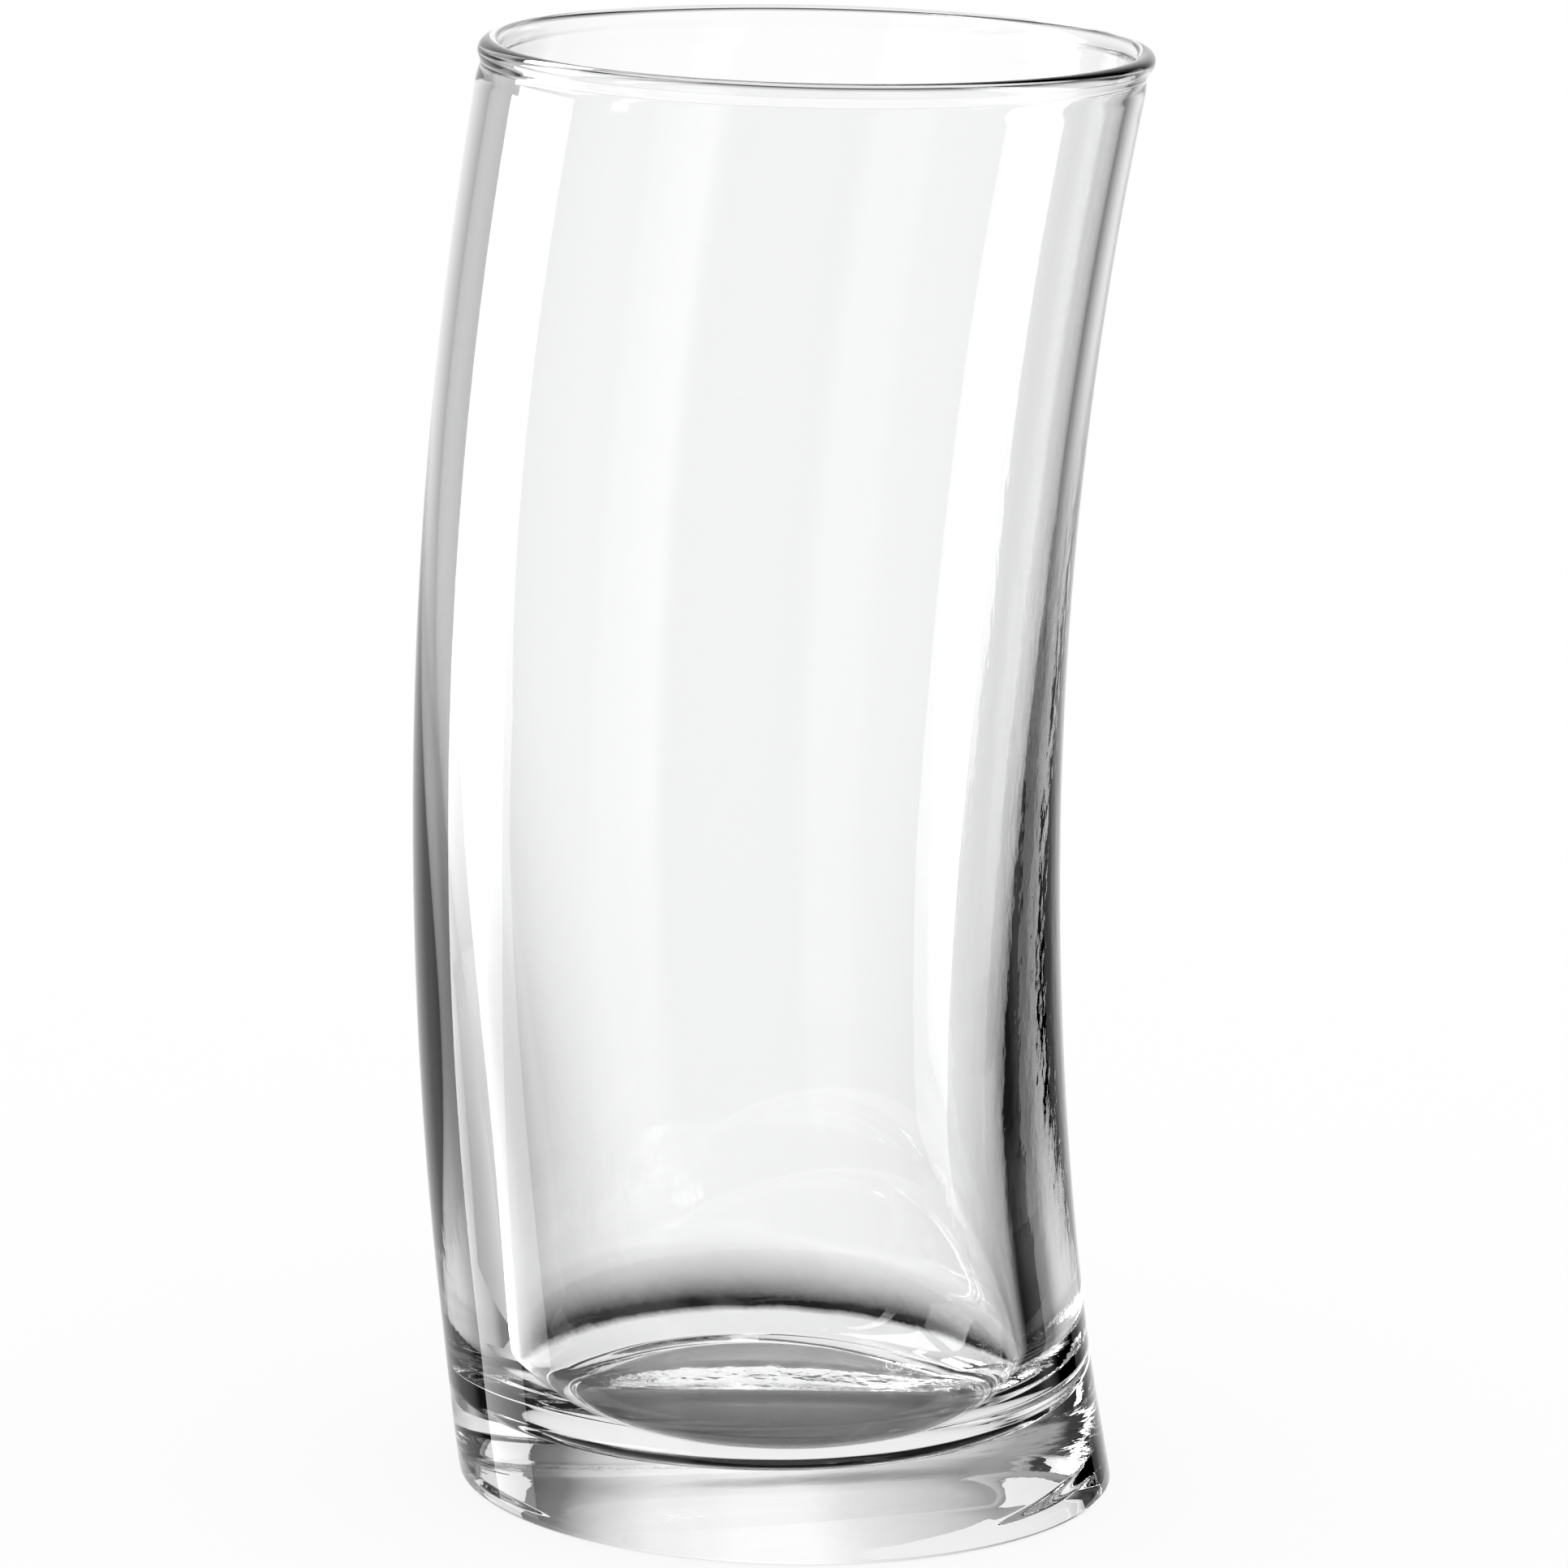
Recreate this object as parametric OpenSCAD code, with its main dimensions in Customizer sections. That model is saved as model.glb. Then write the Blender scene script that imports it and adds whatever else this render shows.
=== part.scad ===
// Bent highball glass: a heavy base, a wall that thins towards the top, and a fire-polished rim.
// Millimetres, +Z up. The origin is the middle of the ring that the glass stands on,
// and the body bulges towards -X.
// The glass is a turned profile whose upright axis is bent to an arc while every level stays flat.

/* [Body] */
// Height from the table to the top of the lip
height = 140; // [110:1:180]
// Outside diameter of the body, across its bent axis
body_d = 62.4; // [54:0.2:76]
// Radius of the arc that the upright axis is bent to
bend_r = 404; // [280:1:900]

/* [Wall] */
// Wall thickness at the neck, just below the lip
wall_top_t = 1.6; // [1.2:0.1:2.4]
// Wall thickness where the wall stands on the base
wall_base_t = 6.3; // [3:0.1:9]
// How late the wall thickens on its way down, where 1 is an even S
wall_taper = 2.7; // [1:0.1:3.5]
// How far the hollow lies towards the bulge at mid height, as blown glass is thinner there
hollow_shift = 0.3; // [0:0.05:0.8]

/* [Base] */
// Height of the floor's edge above the table
floor_h = 6.8; // [5:0.1:16]
// How much lower the floor lies in its middle
floor_sag = 0.5; // [0:0.1:1.5]
// Width of the oval inside corner between floor and wall
corner_w = 5.6; // [2:0.1:8]
// Height of that corner
corner_h = 9.2; // [3:0.1:14]
// How far the base spreads beyond the body at its foot
flare = 0.3; // [0:0.05:1.5]
// Radius of the outside bottom edge
heel_r = 0.8; // [0.4:0.1:3]
// Width of the ring that the glass stands on
ring_w = 6; // [2:0.5:9]
// Depth of the shallow dish inside that ring
dish_d = 1.4; // [0.3:0.1:2.5]

/* [Rim] */
// Height of the rim, from its neck to the top of the lip
rim_h = 4; // [3:0.1:6]
// Thickness of the round lip
lip_t = 2.1; // [1.5:0.1:2.8]
// How far the lip stands out beyond the body
lip_proud = 0.3; // [0:0.05:0.6]
// How far the neck under the lip is drawn in
neck_in = 0.15; // [0:0.05:0.4]

/* [Hidden] */
// Sides of a turned shape, and of a true round one
sides = 72;
round_sides = 4 * sides;
// Levels up the wall
wall_levels = 14;
// Steps in a gentle curve of the profile, and in a tight round
curve_steps = 5;
arc_steps = 8;
// Radius of the small flat in the middle of the dish and of the floor
middle_r = 1;
// How far a cutting shape runs past the face that it cuts
cut = 1;
glass_colour = [0.86, 0.92, 0.92, 0.45];
body_r = body_d / 2;
axis_x = sqrt(pow(bend_r, 2) - pow(height / 2, 2));
neck_z = height - rim_h;
base_h = floor_h + corner_h;
floor_r = body_r - wall_base_t - corner_w;
ring_outer_r = outer_r(0) - heel_r;
ring_inner_r = ring_outer_r - ring_w;
lip_r = lip_t / 2;
lip_z = height - lip_r;
lip_mid_r = body_r + lip_proud - lip_r;
crease_z = lip_z - 1.2 * lip_r;

// Smooth step from 0 to 1
function ease(t) = let (u = min(1, max(0, t))) u * u * (3 - 2 * u);

// Value between a and b
function between(a, b, t) = a + (b - a) * t;

// Outside radius at height z: the spread dies away at the top of the base
function outer_r(z) = body_r + flare * (1 - ease(z / base_h));

// Share of the wall that lies above height z, from 0 at the neck to 1 at the base
function share_above(z) = (neck_z - z) / (neck_z - base_h);

// Wall thickness at height z
function wall_t(z) = between(wall_top_t, wall_base_t, pow(ease(share_above(z)), wall_taper));

// Shift of the hollow towards the bulge at height z, none at either end of the wall
function shift(z) = hollow_shift * sin(180 * share_above(z));

// Arc of [radius, height] points round a centre, oval where its width and height differ
function arc(centre, w, h, from, to, steps) = [
    for (i = [0 : steps]) let (a = between(from, to, i / steps)) centre + [w * cos(a), h * sin(a)]
];

// S-shaped run of [radius, height] points that leaves and arrives upright
function upright_run(start, end) = [
    for (i = [0 : curve_steps]) let (t = i / curve_steps) [
        between(start.x, end.x, ease(t)),
        between(start.y, end.y, t)
    ]
];

// S-shaped run of [radius, height] points that leaves and arrives level
function level_run(start, end) = [
    for (i = [0 : curve_steps]) let (t = i / curve_steps) [
        between(start.x, end.x, t),
        between(start.y, end.y, ease(t))
    ]
];

// Ring of points round the bent axis, from a radius, a height and a shift towards the bulge
function ring(r, z, shift = 0) = [
    for (i = [0 : sides - 1]) let (a = 360 * i / sides) [
        axis_x - sqrt(pow(bend_r + r * cos(a), 2) - pow(z - height / 2, 2)) - shift,
        r * sin(a),
        z
    ]
];

// Faces between one ring of points and another
function band(from, to) = [
    for (i = [0 : sides - 1]) let (j = (i + 1) % sides) each [
        [from * sides + i, from * sides + j, to * sides + j],
        [from * sides + i, to * sides + j, to * sides + i]
    ]
];

// Solid whose outline is a list of rings.
// A closed outline joins its last ring to its first, and an open one has a flat disc at each end.
module turned(rings, closed = false) {
    last = len(rings) - 1;
    bands = [for (k = [0 : last - 1]) each band(k, k + 1)];
    ends = closed ? band(last, 0) : [
        [for (i = [sides - 1 : -1 : 0]) i],
        [for (i = [0 : sides - 1]) last * sides + i]
    ];
    polyhedron(points = [for (r = rings) each r], faces = concat(bands, ends), convexity = 6);
}

// Round tube bent to the arc of the axis, longer than the glass at both ends
module bent_tube(r) {
    half_turn = asin((height / 2 + r) / (bend_r - r));
    translate([axis_x, 0, height / 2])
        rotate([90, 0, 0])
            rotate_extrude(angle = 2 * half_turn, start = 180 - half_turn, $fn = round_sides)
                translate([bend_r, 0])
                    circle(r, $fn = round_sides);
}

// Space between two levels, wider than the glass
module level_slab(from, to) {
    translate([-body_d, -body_d, from])
        cube([2 * body_d, 2 * body_d, to - from]);
}

// Heavy base: dished underside, ring cut flat to stand on, spreading foot, floor with a round corner
module base() {
    dish = level_run([middle_r, dish_d], [ring_inner_r, 0]);
    uncut_ring = [[ring_inner_r, -cut], [ring_outer_r, -cut]];
    heel = arc([ring_outer_r, heel_r], heel_r, heel_r, -90, 0, curve_steps);
    side_heights = [for (i = [1 : curve_steps]) between(heel_r, base_h, i / curve_steps)];
    side = [for (z = side_heights) [outer_r(z), z]];
    corner = arc([floor_r, base_h], corner_w, corner_h, 0, -90, arc_steps);
    floor_run = level_run([floor_r, floor_h], [middle_r, floor_h - floor_sag]);
    inner_floor = [for (i = [1 : curve_steps]) floor_run[i]];
    profile = concat(dish, uncut_ring, heel, side, corner, inner_floor);
    color(glass_colour)
        difference() {
            turned([for (p = profile) ring(p.x, p.y)]);
            level_slab(-2 * cut, 0);
        }
}

// Bent wall, thickest at the base and on the hollow side of the bend
module wall() {
    levels = [for (i = [0 : wall_levels]) between(base_h, neck_z, i / wall_levels)];
    below = ring(body_r - wall_base_t, base_h - cut);
    above = ring(body_r - wall_top_t, neck_z + cut);
    hollow = [for (z = levels) ring(body_r - wall_t(z), z, shift(z))];
    color(glass_colour)
        difference() {
            intersection() {
                bent_tube(body_r);
                level_slab(base_h, neck_z);
            }
            turned(concat([below], hollow, [above]));
        }
}

// Fire-polished rim: a round lip above a drawn-in neck
module rim() {
    step = 180 / arc_steps;
    neck = upright_run([body_r, neck_z], [body_r - neck_in, crease_z]);
    bulge = upright_run([body_r - neck_in, crease_z], [body_r + lip_proud, lip_z]);
    outside = concat(neck, [for (i = [1 : curve_steps]) bulge[i]]);
    lip = arc([lip_mid_r, lip_z], lip_r, lip_r, step, 180 - step, arc_steps - 2);
    inside = upright_run([lip_mid_r - lip_r, lip_z], [body_r - wall_top_t, neck_z]);
    color(glass_colour)
        turned([for (p = concat(outside, lip, inside)) ring(p.x, p.y)], closed = true);
}

base();
wall();
rim();
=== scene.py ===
"""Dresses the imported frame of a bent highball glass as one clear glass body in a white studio."""

from __future__ import annotations

import logging
import math
from dataclasses import dataclass
from enum import Enum

import bpy
import numpy as np
from mathutils import Matrix, Vector

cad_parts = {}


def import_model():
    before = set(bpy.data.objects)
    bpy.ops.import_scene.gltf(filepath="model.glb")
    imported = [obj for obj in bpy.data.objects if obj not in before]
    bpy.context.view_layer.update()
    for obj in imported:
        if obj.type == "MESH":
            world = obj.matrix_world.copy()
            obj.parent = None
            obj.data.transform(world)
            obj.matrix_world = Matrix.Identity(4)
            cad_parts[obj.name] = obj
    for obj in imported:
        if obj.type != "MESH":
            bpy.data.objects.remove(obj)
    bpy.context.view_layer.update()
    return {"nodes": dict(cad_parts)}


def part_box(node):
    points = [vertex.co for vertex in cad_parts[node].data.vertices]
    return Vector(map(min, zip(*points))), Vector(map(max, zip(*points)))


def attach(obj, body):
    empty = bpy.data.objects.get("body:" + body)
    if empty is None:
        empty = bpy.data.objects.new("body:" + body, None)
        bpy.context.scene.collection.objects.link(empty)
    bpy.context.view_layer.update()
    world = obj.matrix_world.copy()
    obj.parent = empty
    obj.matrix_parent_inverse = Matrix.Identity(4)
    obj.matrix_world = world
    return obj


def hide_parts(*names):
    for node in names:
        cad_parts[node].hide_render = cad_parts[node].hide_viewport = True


MM = 0.001
PHOTO_SIDE_PX = 1932
SENSOR_MM = 36.0
BODY = "root"
WHITE = (1.0, 1.0, 1.0, 1.0)
LOG = logging.getLogger("highball")
Socket = bpy.types.NodeSocket


class Zone(Enum):
    """Zone of the glass's surface, each with its own unevenness."""

    UNDERSIDE = 0
    OUTSIDE = 1
    LIP = 2
    INSIDE = 3
    FLOOR = 4


def ease(t: np.ndarray) -> np.ndarray:
    """Smooth step from 0 to 1: u squared times (3 - 2u), with u held between 0 and 1."""
    u = np.clip(t, 0.0, 1.0)
    return u * u * (3.0 - 2.0 * u)


@dataclass(frozen=True)
class Stretch:
    """Run of the glass's outline, as arrays along it.

    Args:
        r: Radius of each ring.
        z: Height of each ring.
        shift: How far each ring lies towards the bulge.
        uneven: Share of the zone's ripple and wrinkles that each ring has.
        zone: Zone of the surface that the run belongs to.
    """

    r: np.ndarray
    z: np.ndarray
    shift: np.ndarray
    uneven: np.ndarray
    zone: Zone

    @staticmethod
    def centred(r: np.ndarray, z: np.ndarray, uneven: np.ndarray, zone: Zone) -> Stretch:
        """Run of rings that are centred on the bent axis."""
        return Stretch(r, z, np.zeros_like(r), uneven, zone)

    def without_first(self) -> Stretch:
        """The same run without its first ring, which the run before it already has."""
        return Stretch(self.r[1:], self.z[1:], self.shift[1:], self.uneven[1:], self.zone)


def arc(centre: tuple[float, float], radius: float, start: float, end: float, count: int) -> np.ndarray:
    """Points of a circular arc in the plane of the outline: centre plus radius times (cos, sin).

    Args:
        centre: Radius and height of the arc's centre.
        radius: Radius of the arc.
        start: First angle in degrees, from outwards towards upwards.
        end: Last angle in degrees.
        count: Number of points.

    Returns:
        Array of two rows, the radii and the heights.
    """
    a = np.radians(np.linspace(start, end, count))
    return np.array([centre[0] + radius * np.cos(a), centre[1] + radius * np.sin(a)])


@dataclass(frozen=True)
class Bend:
    """Arc in the XZ plane that the upright axis is bent to, bulging towards -X.

    Args:
        height: Height of the glass.
        radius: Radius of the arc.
    """

    height: float
    radius: float

    @property
    def centre_x(self) -> float:
        """Place of the arc's centre: the axis passes through the origin and straight above it."""
        return math.sqrt(self.radius**2 - (self.height / 2) ** 2)

    def place(self, r: np.ndarray, z: np.ndarray, angle: np.ndarray, shift: np.ndarray) -> np.ndarray:
        """Points of level rings round the bent axis.

        The distance to the bend's centre line is its radius plus r times the cosine of the angle,
        and Y is r times the sine, so that a cut across the axis is a true circle.

        Args:
            r: Radius of each point.
            z: Height of each point.
            angle: Angle of each point round the axis, 0 at the bulge.
            shift: How far each point is moved towards the bulge.

        Returns:
            Array of points with X, Y and Z last.
        """
        out = self.radius + r * np.cos(angle)
        x = self.centre_x - np.sqrt(out**2 - (z - self.height / 2) ** 2) - shift
        return np.stack([x, r * np.sin(angle), z], axis=-1)


@dataclass(frozen=True)
class Ripple:
    """Unevenness that moulding and blowing leave: a seeded sum of plane waves through space.

    Args:
        depth: Typical height of the ripple.
        shortest: Shortest wavelength.
        longest: Longest wavelength.
        seed: Seed of the waves' directions and phases.
        waves: Number of waves.
    """

    depth: float
    shortest: float
    longest: float
    seed: int
    waves: int = 28

    def height(self, points: np.ndarray) -> np.ndarray:
        """Height of the ripple: depth times the sum of cosines of wave vector dot point plus phase.

        Args:
            points: Points with X, Y and Z last.

        Returns:
            One height for each point.
        """
        draw = np.random.default_rng(self.seed)
        ways = draw.normal(size=(self.waves, 3))
        ways /= np.linalg.norm(ways, axis=1, keepdims=True)
        lengths = np.exp(draw.uniform(math.log(self.shortest), math.log(self.longest), self.waves))
        phases = draw.uniform(0.0, math.tau, self.waves)
        total = np.zeros(points.shape[:-1])
        for way, length, phase in zip(ways, lengths, phases):
            total += np.cos(points @ way * (math.tau / length) + phase)
        return self.depth * math.sqrt(2.0 / self.waves) * total


@dataclass(frozen=True)
class Base:
    """Heavy base: underside with a crescent dish, standing ring, heel, spreading foot, floor and corner.

    Args:
        body_r: Outside radius of the body.
        height: Height of the base, up to the top of its inside corner.
        corner_w: Width of the oval inside corner.
        corner_h: Height of that corner.
        wall_t: Thickness of the wall above the corner.
        flare: How far the foot spreads beyond the body.
        heel_r: Radius of the outside bottom edge.
        ring_w: Width of the ring that the glass stands on.
        dish_d: Depth of the dish.
        dish_y: Place of the dish's middle, in front of the axis.
        rise_r: Distances from that middle between which the dish rises.
        step_r: Distances between which it falls again.
        rough_r: Distances between which the underside is rough.
        rough_edge: Width over which the roughness and the dish ease away.
        least_rough: Share of the roughness elsewhere on the underside.
        floor_sag: How much lower the floor lies in its middle.
        even_w: Height over which the unevenness of the side sets in above the heel.
        dish_rings: Rings of the underside inside the standing ring.
        ring_rings: Rings of the standing ring.
        heel_rings: Rings of the heel.
        side_rings: Rings of the side above it.
        corner_rings: Rings of the inside corner.
        floor_rings: Rings of the floor.
    """

    body_r: float
    height: float
    corner_w: float = 5.6 * MM
    corner_h: float = 9.2 * MM
    wall_t: float = 6.3 * MM
    flare: float = 0.21 * MM
    heel_r: float = 0.35 * MM
    ring_w: float = 6.0 * MM
    dish_d: float = 0.6 * MM
    dish_y: float = -15.0 * MM
    rise_r: tuple[float, float] = (17.0 * MM, 26.0 * MM)
    step_r: tuple[float, float] = (27.0 * MM, 34.0 * MM)
    rough_r: tuple[float, float] = (25.0 * MM, 35.5 * MM)
    rough_edge: float = 2.5 * MM
    least_rough: float = 0.05
    floor_sag: float = 0.5 * MM
    even_w: float = 6.0 * MM
    dish_rings: int = 75
    ring_rings: int = 6
    heel_rings: int = 8
    side_rings: int = 15
    corner_rings: int = 26
    floor_rings: int = 35

    @property
    def floor_z(self) -> float:
        """Height of the floor's edge inside the glass."""
        return self.height - self.corner_h

    @property
    def floor_r(self) -> float:
        """Radius of the flat floor, inside the round corner."""
        return self.body_r - self.wall_t - self.corner_w

    @property
    def ring_outer_r(self) -> float:
        """Outer radius of the ring that the glass stands on."""
        return self.body_r + self.flare - self.heel_r

    @property
    def ring_inner_r(self) -> float:
        """Inner radius of that ring."""
        return self.ring_outer_r - self.ring_w

    def outer_r(self, z: np.ndarray) -> np.ndarray:
        """Outside radius at a height: the spread of the foot eases away at the base's top."""
        return self.body_r + self.flare * (1.0 - ease(z / self.height))

    def underside(self) -> Stretch:
        """Level rings of the underside, evenly spaced up to the heel: the dish is pressed into them.

        Returns:
            The run, from the middle outwards.
        """
        dish = np.linspace(0.0, self.ring_inner_r, self.dish_rings + 1)[1:]
        ring = np.linspace(self.ring_inner_r, self.ring_outer_r, self.ring_rings + 2)[1:-1]
        r = np.concatenate([dish, ring])
        return Stretch.centred(r, np.zeros_like(r), 1.0 * (r < self.ring_inner_r), Zone.UNDERSIDE)

    def from_dish(self, points: np.ndarray) -> np.ndarray:
        """Level distance of points from the middle of the dish."""
        return np.hypot(points[..., 0], points[..., 1] - self.dish_y)

    def dish(self, points: np.ndarray) -> np.ndarray:
        """Depth of the dish at points of the underside.

        It rises slowly and falls in a steeper step, both S-shaped, with the distance from its middle,
        and it eases away before the ring that the glass stands on.

        Args:
            points: Points with X, Y and Z last.

        Returns:
            One depth for each point.
        """
        away = self.from_dish(points)
        rise, step = (ease((away - a) / (b - a)) for a, b in (self.rise_r, self.step_r))
        inside = self.ring_inner_r - np.hypot(points[..., 0], points[..., 1])
        return self.dish_d * rise * (1.0 - step) * ease(inside / self.rough_edge)

    def roughness(self, points: np.ndarray) -> np.ndarray:
        """Share of the underside's unevenness: all of it round the step, eased to little elsewhere.

        Args:
            points: Points with X, Y and Z last.

        Returns:
            One share for each point.
        """
        inner, outer = self.rough_r
        away = self.from_dish(points)
        rough = ease((away - inner) / self.rough_edge) * ease((outer - away) / self.rough_edge)
        return self.least_rough + (1.0 - self.least_rough) * rough

    def side(self) -> Stretch:
        """Quarter circle of the heel and the spreading foot above it.

        Returns:
            The run, from the ring upwards.
        """
        heel = arc((self.ring_outer_r, self.heel_r), self.heel_r, -90.0, 0.0, self.heel_rings)
        z = np.linspace(self.heel_r, self.height, self.side_rings + 1)[1:]
        r = np.concatenate([heel[0], self.outer_r(z)])
        z = np.concatenate([heel[1], z])
        return Stretch.centred(r, z, ease(z / self.even_w), Zone.OUTSIDE)

    def corner(self) -> Stretch:
        """Corner between wall and floor: a quarter of an ellipse, taller than it is wide.

        Returns:
            The run, from the wall down to the floor.
        """
        turn = np.radians(np.linspace(0.0, -90.0, self.corner_rings))
        r = self.floor_r + self.corner_w * np.cos(turn)
        z = self.height + self.corner_h * np.sin(turn)
        return Stretch.centred(r, z, -np.sin(turn), Zone.FLOOR)

    def floor(self) -> Stretch:
        """Floor of the glass, sagging to its middle as an S-shaped slope.

        Returns:
            The run, from the corner inwards.
        """
        r = np.linspace(self.floor_r, 0.0, self.floor_rings + 1)[:-1]
        z = self.floor_z - self.floor_sag * (1.0 - ease(r / self.floor_r))
        return Stretch.centred(r, z, np.ones_like(r), Zone.FLOOR)


@dataclass(frozen=True)
class Wall:
    """Bent wall, thickest at the base and on the hollow side of the bend.

    Args:
        body_r: Outside radius of the body.
        low_z: Height of its lower end.
        neck_z: Height of its upper end.
        base_t: Thickness at the lower end.
        neck_t: Thickness at the upper end.
        taper: How late it thickens on its way down, where 1 is an even S.
        hollow_shift: How far the hollow lies towards the bulge at mid height.
        even_share: Share of the wall, at either end, over which its unevenness dies away.
        outer_rings: Rings of the outer face.
        inner_rings: Rings of the inner face.
    """

    body_r: float
    low_z: float
    neck_z: float
    base_t: float = 6.3 * MM
    neck_t: float = 1.6 * MM
    taper: float = 2.7
    hollow_shift: float = 0.3 * MM
    even_share: float = 0.12
    outer_rings: int = 44
    inner_rings: int = 64

    def share_above(self, z: np.ndarray) -> np.ndarray:
        """Share of the wall that lies above a height, from 0 at the neck to 1 at the base."""
        return np.clip((self.neck_z - z) / (self.neck_z - self.low_z), 0.0, 1.0)

    def thickness(self, z: np.ndarray) -> np.ndarray:
        """Wall thickness at a height: a power of the eased share above it."""
        return self.neck_t + (self.base_t - self.neck_t) * ease(self.share_above(z)) ** self.taper

    def ends_even(self, z: np.ndarray) -> np.ndarray:
        """Share of unevenness at a height, which dies away towards both ends of the wall."""
        share = self.share_above(z)
        return ease(share / self.even_share) * ease((1.0 - share) / self.even_share)

    def outside(self) -> Stretch:
        """Outer face, from the base up to the neck."""
        z = np.linspace(self.low_z, self.neck_z, self.outer_rings)
        return Stretch.centred(np.full_like(z, self.body_r), z, np.ones_like(z), Zone.OUTSIDE)

    def inside(self) -> Stretch:
        """Inner face: the body's radius less the thickness, shifted by a sine of the height.

        Returns:
            The run, from the neck down to the base.
        """
        z = np.linspace(self.neck_z, self.low_z, self.inner_rings)
        shift = self.hollow_shift * np.sin(math.pi * self.share_above(z))
        return Stretch(self.body_r - self.thickness(z), z, shift, self.ends_even(z), Zone.INSIDE)


@dataclass(frozen=True)
class Rim:
    """Fire-polished rim: a round lip above a drawn-in neck.

    Args:
        body_r: Outside radius of the body.
        neck_z: Height of the rim's lower end.
        top_z: Height of the lip's top.
        neck_t: Thickness at the lower end.
        lip_t: Thickness of the lip.
        lip_proud: How far the lip stands out beyond the body.
        neck_in: How far the neck is drawn in.
        crease: Distance of the crease under the lip from the lip's middle, in radii of the lip.
        slope_rings: Rings of each S-shaped slope.
        lip_rings: Rings of the round lip, with both ends.
    """

    body_r: float
    neck_z: float
    top_z: float
    neck_t: float = 1.6 * MM
    lip_t: float = 2.1 * MM
    lip_proud: float = 0.3 * MM
    neck_in: float = 0.15 * MM
    crease: float = 1.2
    slope_rings: int = 10
    lip_rings: int = 22

    def lip(self) -> Stretch:
        """Outline of the rim: an S in to the crease, one out to the lip, half a circle, an S down inside.

        Returns:
            The run, from the neck's outside over the lip to its inside.
        """
        lip_r = self.lip_t / 2
        lip_z = self.top_z - lip_r
        middle_r = self.body_r + self.lip_proud - lip_r
        crease_z = lip_z - self.crease * lip_r
        t = np.linspace(0.0, 1.0, self.slope_rings)
        neck = self.body_r - self.neck_in * ease(t)
        bulge = self.body_r - self.neck_in + (self.lip_proud + self.neck_in) * ease(t[1:])
        inner_neck = self.body_r - self.neck_t
        inner = inner_neck + (middle_r - lip_r - inner_neck) * ease(t)
        over = arc((middle_r, lip_z), lip_r, 0.0, 180.0, self.lip_rings)[:, 1:-1]
        rise = self.neck_z + (lip_z - self.neck_z) * t
        neck_rise = self.neck_z + (crease_z - self.neck_z) * t
        bulge_rise = crease_z + (lip_z - crease_z) * t[1:]
        r = np.concatenate([neck, bulge, over[0], inner[::-1]])
        z = np.concatenate([neck_rise, bulge_rise, over[1], rise[::-1]])
        return Stretch.centred(r, z, np.zeros_like(r), Zone.LIP)


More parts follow.
